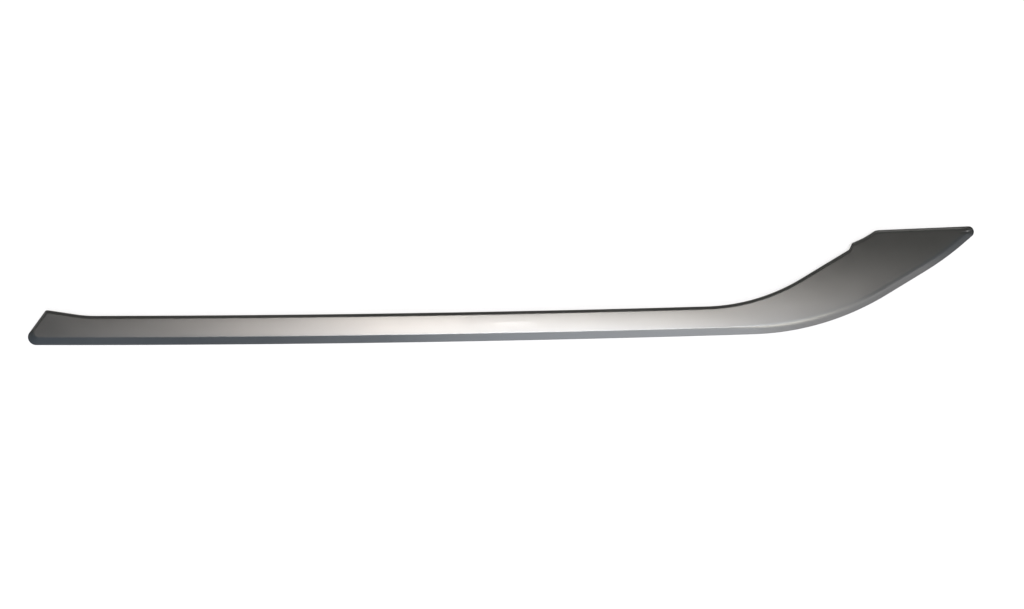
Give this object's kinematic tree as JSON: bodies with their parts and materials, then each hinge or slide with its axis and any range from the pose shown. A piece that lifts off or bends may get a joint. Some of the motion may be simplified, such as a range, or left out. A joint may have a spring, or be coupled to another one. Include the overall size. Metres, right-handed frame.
{
  "type": "bumper chrome trim",
  "caption": "Long slim satin-chrome bumper moulding that bends up and widens into a blade with a pointed tip; open-backed shell with cross ribs and moulded snap tabs.",
  "frame": {"origin": "centre of the bounding box's bottom, level with the ends of the snap tabs the trim lies on", "axes": "+X runs along the trim from its raked end to the tip of the blade, +Y runs up the face towards the blade's top cut, +Z comes out of the show face"},
  "size_m": [0.8014, 0.1008, 0.0181],
  "materials": {
    "satin_chrome": "satin"
  },
  "bodies": {
    "root": {"trim_strip": "satin_chrome"}
  },
  "joints": []
}
